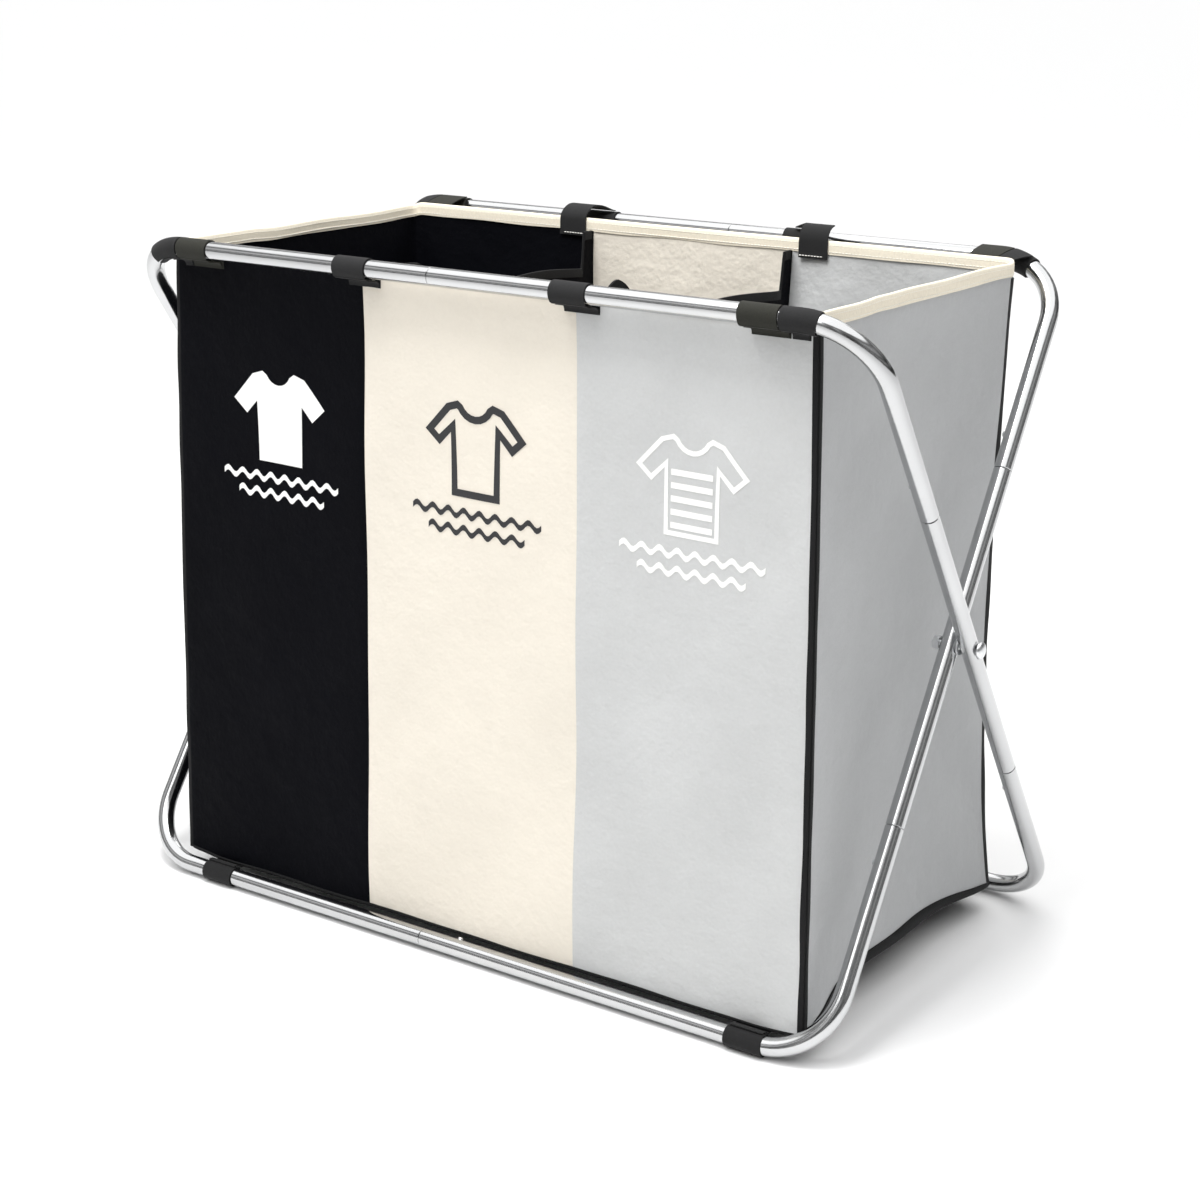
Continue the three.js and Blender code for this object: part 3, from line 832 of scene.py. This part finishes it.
def bottom_hem():
    """A tape round the bag's bottom edge, up the walls a little and folded under the floor."""
    low, second = (np.vstack([grids[wall][row, :-1] for wall in WALLS]) for row in (0, 1))
    rise = second - low
    rise /= np.linalg.norm(rise, axis=1, keepdims=True)
    line = smooth_loop(low)
    heights = []
    for wall in WALLS:
        arch = 6.5 if wall in ("left", "right") else 0
        shares = np.linspace(0, 1, len(grids[wall][0]))[:-1]
        heights += [2.0 + arch * math.sin(PI * share) ** 0.5 for share in shares]
    wobble = wander(97, 7)
    skin, gap, under, reach = 0.9 * MM, 0.75 * MM, 1.0 * MM, 9 * MM
    rings = []
    for i, (point, way, rising) in enumerate(zip(line, ways_out(line), rise)):
        height = heights[i] * MM + 0.4 * MM * wobble(i * 9 * MM, 0)
        outline = [(gap, height), (gap + skin, height - 0.3 * MM), (gap + skin + 0.2 * MM, height / 2)]
        outline += [(gap + skin, 0), (gap, -under), (-1.5 * MM, -under - skin * 0.9)]
        outline += [(-reach, -under - skin * 0.7), (-reach, -under + 0.2 * MM)]
        outline += [(-1.5 * MM, -under + 0.2 * MM), (gap * 0.9, 0)]
        base, o, up = Vector(point), Vector(way), Vector(rising)
        rings.append([base + o * n + up * h for n, h in outline])
    build = Build()
    build.sweep(rings, closed=True)
    on_bag(build.piece("bottom_hem", black_tape, 60))


bottom_hem()


def divider_edge(side_name):
    """The turned hem along a divider's top edge."""
    grid = dividers[side_name]
    top, under = grid[-1], grid[-3]
    rings = []
    for i in range(2, len(top) - 2):
        p = Vector(top[i])
        along = Vector(top[i + 1] - top[i - 1]).normalized()
        down = (Vector(under[i]) - p).normalized()
        out = along.cross(down).normalized()
        outline = [(1.1, 7), (1.25, 3.5), (0.9, -0.4), (0, -0.8), (-0.9, -0.4), (-1.25, 3.5), (-1.1, 7)]
        outline += [(-0.6, 7), (-0.6, 0.4), (0.6, 0.4), (0.6, 7)]  # in mm: across the hem and down it
        rings.append([p + out * (n * MM) + down * (h * MM) for n, h in outline])
    build = Build()
    build.sweep(rings)
    on_bag(build.piece(f"divider_hem_{side_name}", black_tape, 60))


for side_name in dividers:
    divider_edge(side_name)

# ---- straps round the rails

STRAP = 0.85 * MM
STRAP_WIDTH = 32 * MM
STRAP_ROWS = 9
FIRST_LAYER = 8.2 * MM
SECOND_LAYER = 8.95 * MM
SLEEVE_TURN = 352
OVER_RAIL = 9.9 * MM
RAILS = {"front_top": ("a", 1), "rear_bottom": ("a", -1), "rear_top": ("b", 1), "front_bottom": ("b", -1)}


def strap_frame(place, distance):
    """The point on the rail, the way to the bag and the way up, both square to the tube."""
    loop, side, end = place
    point, tangent, _ = station(loop, distance, side, end)
    bag_way = Vector((0, -math.copysign(1, point.y), 0))
    towards = (bag_way - tangent * bag_way.dot(tangent)).normalized()
    up = tangent.cross(towards).normalized()
    return point, towards, up if up.z > 0 else -up


def sleeve(start, droop, seed):
    """A spiral round the tube that ends on top of its own start, as (towards the bag, up)."""
    wave = wander(seed, 3)
    steps = int(SLEEVE_TURN / 7)
    path = []
    for k in range(steps + 1):
        angle = math.radians(start + SLEEVE_TURN * k / steps)
        on_top = smoothstep((SLEEVE_TURN * k / steps - 335) / 30)
        radius = FIRST_LAYER + (SECOND_LAYER - FIRST_LAYER) * on_top + droop * max(-math.sin(angle), 0) ** 2
        radius += 0.08 * MM * wave(angle / 20, 0)
        path.append((radius * math.cos(angle), radius * math.sin(angle)))
    return path


def strap_shell(build, place, span, path, shift=None):
    """Lays a path of (towards, up) offsets along a span of the rail, as a thin closed strip."""
    grid = []
    edge = wander(int(span[0] * 1e4) % 97, 4)
    for distance in np.linspace(span[0], span[1], STRAP_ROWS):
        row = []
        for k, (t, u) in enumerate(path):
            slide = (shift(k / (len(path) - 1)) if shift else 0.0) + 0.35 * MM * edge(k * 2 * MM, 0)
            point, towards, up = strap_frame(place, distance + slide)
            row.append(tuple(point + towards * t + up * u))
        grid.append(row)
    build.add(*shell(np.array(grid), STRAP))


def bezier(points, steps):
    """A smooth curve between its first and last control points, by repeated lerp."""
    curve = []
    for k in range(steps + 1):
        row = [Vector(p) for p in points]
        while len(row) > 1:
            row = [a.lerp(b, k / steps) for a, b in zip(row, row[1:])]
        curve.append(tuple(row[0]))
    return curve


def joined(first, second):
    """Two parts of a path one after the other, without the repeated points."""
    path = list(first)
    path += [p for p in second if math.dist(p, first[-1]) > 0.4 * MM]
    return path


FRONT_GAP = FRONT_Y - station("a", 0, 1, 1)[0].y
REAR_GAP = station("b", 0, 1, 1)[0].y - (REAR_Y - REAR_PULL)
CROWN = RIM_TOP - station("b", 0, 1, 1)[0].z

# How far a strap has slipped along its rail, in mm, at its end near the middle and at its far end.
SLIPS = {
    ("front_top", "corner", 1): (0.8, -3),
    ("front_top", "corner", -1): (0.8, -1),
    ("front_top", "divider", 1): (5.5, 5.5),
    ("front_top", "divider", -1): (-4, -4),
    ("rear_top", "corner", 1): (10.5, -4),
    ("rear_top", "corner", -1): (16, 8),
    ("rear_top", "side", 1): (14, 10),
    ("rear_top", "side", -1): (19, 15),
}


def front_strap(build, place, span, tab_span, seed):
    """A sleeve, the tab from it down to the rim, and the strap's tail behind the tab."""
    strap_shell(build, place, span, sleeve(-118, 0.9 * MM, seed))
    face = FRONT_GAP - 1.0 * MM
    bend = [(face, -12 * MM), (face - 0.6 * MM, -4 * MM), (10.2 * MM, -1 * MM), (9.6 * MM, 4 * MM)]
    tail = [(1 * MM, -OVER_RAIL), (8 * MM, -10.6 * MM)]
    tail += [(face - 1.2 * MM, -10 * MM), (face - 1.25 * MM, -16.5 * MM)]
    tab = joined([(face, -17 * MM), (face + 0.1 * MM, -14.5 * MM)], bezier(bend, 8))
    strap_shell(build, place, tab_span, tab)
    strap_shell(build, place, (tab_span[0] + 0.6 * MM, tab_span[1] - 0.6 * MM), bezier(tail, 9))


def rear_strap(build, tab_build, place, span, tab_span, seed):
    """A sleeve, and the tab from the rim over it."""
    strap_shell(build, place, span, sleeve(-70, 0.4 * MM, seed))
    face = REAR_GAP - 1.0 * MM
    bend = [(face - 0.3 * MM, -2 * MM), (face - 2 * MM, 6 * MM), (24 * MM, 6 * MM)]
    bend += [(14 * MM, 9.5 * MM), (3 * MM, OVER_RAIL)]
    foot = [(face, -13 * MM), (face + 0.1 * MM, -9 * MM), (face - 0.2 * MM, -5 * MM)]
    strap_shell(tab_build, place, tab_span, joined(foot, bezier(bend, 16)))


def rear_divider_strap(build, tab_build, place, span, world_side, seed):
    """A sleeve, and a loose tab that stands up from the rim and leans along the rail to reach it. Gives the
    tab's span and the distance of its foot."""
    sleeve_slip, tab_slip = (10 * MM, -22 * MM) if world_side > 0 else (13 * MM, 21 * MM)
    tall, fall_at, reach = (15 * MM, 16 * MM, 0.75) if world_side > 0 else (13 * MM, 8 * MM, 1.0)
    side = place[1]
    strap_shell(build, place, [d + side * sleeve_slip for d in span], sleeve(-40, 0.4 * MM, seed))
    face = REAR_GAP + 2.6 * MM
    bend = [(face - 0.1 * MM, CROWN), (face - 0.5 * MM, tall), (fall_at + 14 * MM, tall + 9 * MM)]
    bend += [(fall_at, tall + 2 * MM), (9 * MM, 10 * MM), (2 * MM, OVER_RAIL)]
    foot = [(face + 0.2 * MM, -10.5 * MM), (face, -6 * MM), (face - 0.1 * MM, CROWN)]
    drift = side * (sleeve_slip - tab_slip)
    near, far = (d + side * tab_slip for d in span)
    strap_shell(
        tab_build, place, (near + 2 * MM, far - 2 * MM), joined(foot, bezier(bend, 20)),
        lambda s: drift * reach * smoothstep((s - 0.45) / 0.55),
    )
    return (near, far), face


def top_strap(rail, kind, side):
    """A strap from the rim round a top rail and back on itself. At the rear its tab is a piece of its own,
    which stays with the bag when the frame folds."""
    loop, end = RAILS[rail]
    place = (loop, side, end)
    name = f"strap_{rail}_{kind}_{LOOPS[loop]['side'][side]}"
    world_side = 1 if middle(name).x > 0 else -1
    near, far = sorted(abs(corner.x) - side * LOOP_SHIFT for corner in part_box(name))
    if kind == "corner":
        far = near + STRAP_WIDTH
    near_slip, far_slip = SLIPS.get((rail, kind, world_side), (0, 0))
    span = (near + near_slip * MM, far + far_slip * MM)
    tab_span = (span[0], span[0] + 15 * MM) if kind == "corner" else span
    seed = {"corner": 3, "side": 5, "divider": 8}[kind] + world_side
    material = strap_olive if kind == "side" else strap_charcoal
    build, tab_build = Build(), Build()
    if rail == "front_top":
        front_strap(build, place, span, tab_span, seed + 10)
    elif kind == "divider":
        tab_span, face = rear_divider_strap(build, tab_build, place, span, world_side, seed)
    else:
        rear_strap(build, tab_build, place, span, tab_span, seed)
    stand_in(build.piece(f"{name}_strap", material, 50), LOOPS[loop]["body"], name)
    if rail == "rear_top":
        on_bag(tab_build.piece(f"{name}_tab", material, 50))
        if kind == "divider":
            rear_tab_stitches(name, place, tab_span, face)


def rear_tab_stitches(name, place, span, face):
    """White thread across the end of a tab, where it is sewn to the rim inside the bag."""
    points, normals = [], []
    for distance in np.linspace(span[0] + 2.5 * MM, span[1] - 2.5 * MM, 12):
        point, towards, up = strap_frame(place, distance)
        points.append(point + towards * (face + 0.75 * MM) - up * 8.4 * MM)
        normals.append(towards)
    build = Build()
    stitch_row(build, points, normals, 2.9 * MM, 0.9 * MM)
    on_bag(build.piece(f"{name}_stitches", white_thread))


def bottom_strap(rail, side):
    """A strap round a bottom rail, with its tab tucked under the bag's edge."""
    loop, end = RAILS[rail]
    place = (loop, side, end)
    name = f"strap_{rail}_{LOOPS[loop]['side'][side]}"
    span = [d - side * LOOP_SHIFT for d in sorted(abs(corner.x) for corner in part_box(name))]
    rail_point = station(loop, 0, 1, end)[0]
    edge_y = -REAR_Y
    if rail == "front_bottom":
        edge_y = FRONT_Y - 4.5 * MM
        span = [d + side * math.copysign(5 * MM, -LOOPS[loop]["turn"]) for d in span]
    gap = edge_y + abs(rail_point.y)
    lip = FLOOR_Z - rail_point.z - 4.6 * MM
    tab = [(-1 * MM, OVER_RAIL), (6 * MM, 10.4 * MM)]
    tab += [(gap - 5 * MM, lip), (gap - 2 * MM, lip), (gap + 2 * MM, lip)]
    build = Build()
    strap_shell(build, place, span, sleeve(60, 0, 21 + side))
    strap_shell(build, place, (span[0] + 1 * MM, span[1] - 1 * MM), bezier(tab, 12))
    stand_in(build.piece(f"{name}_strap", strap_charcoal, 50), LOOPS[loop]["body"], name)


for side in (1, -1):
    for kind in ("corner", "side", "divider"):
        top_strap("front_top", kind, side)
        top_strap("rear_top", kind, side)
    bottom_strap("front_bottom", side)
    bottom_strap("rear_bottom", side)

# ---- generic garment prints on the front


def arc(cx, cy, radius, start, stop, steps=8):
    angles = (math.radians(start + (stop - start) * k / steps) for k in range(steps + 1))
    return [(cx + radius * math.cos(a), cy + radius * math.sin(a)) for a in angles]


def shirt():
    """A plain T-shirt, about two units wide and high."""
    cuff = [(1.18, 0.30), (0.86, 0.02)]
    right_half = [(0.40, 0.92), (0.66, 0.84)] + cuff + [(0.58, 0.30), (0.58, -0.92)]
    left_half = [(-x, z) for x, z in reversed(right_half)]
    return right_half + left_half + arc(0, 0.98, 0.32, 205, 335)


def ripples(width, height, waves=6, steps=60):
    """A wavy bar, for water."""
    xs = [-width / 2 + width * k / steps for k in range(steps + 1)]
    line = [(x, height * 0.5 * math.sin(2 * PI * waves * (x + width / 2) / width)) for x in xs]
    return [(x, y + height * 0.42) for x, y in line] + [(x, y - height * 0.42) for x, y in reversed(line)]


def front_face(x, z):
    """The front wall's outside surface at a place across and up."""
    grid = grids["front"]
    row = min(max((z - grid[0, 0, 2]) / (grid[-1, 0, 2] - grid[0, 0, 2]), 0), 1) * ROWS
    i = min(int(row), ROWS - 1)
    line = grid[i] + (grid[i + 1] - grid[i]) * (row - i)
    y = float(np.interp(x, line[:, 0], line[:, 1]))
    return y - CLOTH / 2


def print_shape(build, outline, centre, scale, hole=None, spacing=4.5 * MM):
    """A flat shape with a little body, laid on the front wall. It may have a hole in it."""
    points, loops = [], []
    for ring in (outline, hole) if hole else (outline,):
        ring = [(centre[0] + x * scale[0], centre[1] + z * scale[1]) for x, z in ring]
        edge = []
        for (ax, az), (bx, bz) in zip(ring, ring[1:] + ring[:1]):
            parts = max(int(math.dist((ax, az), (bx, bz)) / spacing), 1)
            edge += [(ax + (bx - ax) * k / parts, az + (bz - az) * k / parts) for k in range(parts)]
        loops.append(list(range(len(points), len(points) + len(edge))))
        points += edge
    xs, zs = [p[0] for p in points], [p[1] for p in points]
    inside = [
        (x, z)
        for x in np.arange(min(xs) + spacing / 2, max(xs), spacing)
        for z in np.arange(min(zs) + spacing / 2, max(zs), spacing)
    ]
    points = [Vector(p) for p in points + inside]
    found = delaunay_2d_cdt(points, [], loops, 2 if hole else 1, 1e-6)
    flat, faces = found[0], found[2]
    count = len(flat)
    front, back = ([(p.x, front_face(p.x, p.y) - off, p.y) for p in flat] for off in (0.34 * MM, 0.06 * MM))
    made = [tuple(f) for f in faces] + [tuple(count + i for i in reversed(f)) for f in faces]
    sides = [(a, b) for f in faces for a, b in zip(f, f[1:] + f[:1])]
    shared = {(b, a) for a, b in sides}
    made += [(a, a + count, b + count, b) for a, b in sides if (a, b) not in shared]
    build.add(front + back, made)


def shrunk(outline, width):
    """The same outline moved in by a width, for the inner edge of a drawn line."""
    moved = []
    for before, here, after in zip(outline[-1:] + outline[:-1], outline, outline[1:] + outline[:1]):
        first = Vector((here[0] - before[0], here[1] - before[1])).normalized()
        second = Vector((after[0] - here[0], after[1] - here[1])).normalized()
        inward = Vector((first.y + second.y, -first.x - second.x)).normalized()
        share = max(inward.dot(Vector((first.y, -first.x))), 0.5)
        moved.append((here[0] + inward.x * width / share, here[1] + inward.y * width / share))
    return moved


def garment_print(name, x, z, style, material):
    """A T-shirt over two lines of water: filled, drawn in outline, or striped."""
    build = Build()
    size = 42 * MM
    at = (x, z + 20 * MM)
    outline = shirt()
    if style == "filled":
        print_shape(build, outline, at, (size, size))
    elif style == "outline":
        print_shape(build, outline, at, (size, size), hole=shrunk(outline, 0.14))
    else:
        print_shape(build, outline, at, (size, size), hole=shrunk(outline, 0.09))
        for k in range(5):
            low = -0.78 + 0.24 * k
            bar = [(-0.44, low), (0.44, low), (0.44, low + 0.11), (-0.44, low + 0.11)]
            print_shape(build, bar, at, (size, size))
    for k, width in enumerate((128, 96)):
        water = ripples(width * MM, 5.5 * MM, width / 16)
        print_shape(build, water, (x, z - (32 + 14 * k) * MM), (1, 1), spacing=2.5 * MM)
    on_bag(build.piece(name, material, 0))


PRINT_Z = 0.408
for name, x, style, material, slot_name in (
    ("print_dark", -2 * SEAM_X + 12 * MM, "filled", white_print, "cream_cloth"),
    ("print_light", 8 * MM, "outline", dark_print, "black_cloth"),
    ("print_colour", 2 * SEAM_X, "striped", white_print, "cream_cloth"),
):
    garment_print(name, x, PRINT_Z, style, material)

# ---- camera, floor and light

camera_data = bpy.data.cameras.new("camera")
camera_data.lens = 65.88
camera_data.sensor_width = 36
camera_data.shift_x = -50 / 1200
camera_data.shift_y = -100 / 1200
camera_data.clip_end = 50
camera = bpy.data.objects.new("camera", camera_data)
bpy.context.scene.collection.objects.link(camera)
YAW, PITCH, ROLL = (math.radians(a) for a in (32.97, 14.29, 0.76))
forward = Vector((-math.sin(YAW) * math.cos(PITCH), math.cos(YAW) * math.cos(PITCH), -math.sin(PITCH)))
level = Vector((math.cos(YAW), math.sin(YAW), 0))
upright = level.cross(forward)
right = level * math.cos(ROLL) + upright * math.sin(ROLL)
above = upright * math.cos(ROLL) - level * math.sin(ROLL)
turn = Matrix((right, above, -forward)).transposed().to_4x4()
camera.matrix_world = Matrix.Translation((1.031, -1.498, 0.816)) @ turn
bpy.context.scene.camera = camera


def studio_floor():
    s = Shader("studio_floor", (0.93, 0.93, 0.93), 0.7)
    s.rough(s.noise(3, 2), 0.65, 0.75)
    size = 60
    build = Build()
    build.add([(-size, -size, 0), (size, -size, 0), (size, size, 0), (-size, size, 0)], [(0, 1, 2, 3)])
    build.piece("studio_floor", s.material)


def area_light(name, place, target, size, power):
    data = bpy.data.lights.new(name, "AREA")
    data.size = size
    data.energy = power
    lamp = bpy.data.objects.new(name, data)
    lamp.location = place
    lamp.rotation_euler = (Vector(target) - Vector(place)).to_track_quat("-Z", "Y").to_euler()
    bpy.context.scene.collection.objects.link(lamp)


studio_floor()
world = bpy.data.worlds.new("studio")
bpy.context.scene.world = world
sky = Graph(world)
direction = sky.node("SeparateXYZ", Vector=sky.node("TexCoord").outputs["Generated"]).outputs


def sky_share(axis, low, high):
    """From 0 to 1 between two values of the sky's direction along an axis."""
    return sky.node("MapRange", Value=direction[axis], From_Min=low, From_Max=high).outputs[0]


def sky_bands(axis, stops):
    """Tones along one axis of the sky from -1 to 1: pale with dark bands, for streaks on the tubes."""
    return sky.ramp(sky_share(axis, -1, 1), [(at, (tone, tone, tone)) for at, tone in stops])


def sky_mix(share, first, plain):
    """From the first colour to a plain tone."""
    mix = sky.node("Mix")
    mix.data_type = "RGBA"
    sky.set(mix, Factor=share, A=first, B=(plain, plain, plain, 1))
    return mix.outputs["Result"]


upright_bands = ((0.0, 1.0), (0.50, 0.9), (0.51, 0.05), (0.555, 0.06), (0.565, 0.8), (0.60, 0.85))
upright_bands += ((0.61, 0.12), (0.64, 0.12), (0.66, 0.9), (0.75, 1.0), (0.77, 0.2), (0.81, 0.25))
upright_bands += ((0.84, 2.3),)
level_bands = ((0.0, 1.0), (0.30, 1.0), (0.33, 0.3), (0.38, 0.3), (0.41, 1.0), (0.52, 0.9), (0.56, 0.35))
level_bands += ((0.62, 0.3), (0.65, 0.8), (0.69, 0.75), (0.72, 0.22), (0.86, 0.25), (0.92, 0.6))
streaks = sky.node("VectorMath")
streaks.operation = "MULTIPLY"
sky.fill(streaks.inputs[0], sky_bands("Z", upright_bands))
sky.fill(streaks.inputs[1], sky_mix(sky_share("Z", 0.45, 0.68), sky_bands("X", level_bands), 1))
# The camera sees a plain white sky.
seen = sky_mix(sky.node("LightPath").outputs["Is Camera Ray"], streaks.outputs[0], 1.5)
sky.set(sky.nodes["Background"], Color=seen, Strength=0.75)
bpy.context.scene.view_settings.view_transform = "Standard"
area_light("key", (-0.3, -2.4, 2.6), (0, 0.1, 0.4), 1.5, 16)
area_light("inside", (0, -0.4, 1.6), (0, 0.16, 0.5), 0.6, 16)
area_light("back", (-0.6, 2.4, 2.2), (0, 0, 0.4), 1.6, 8)
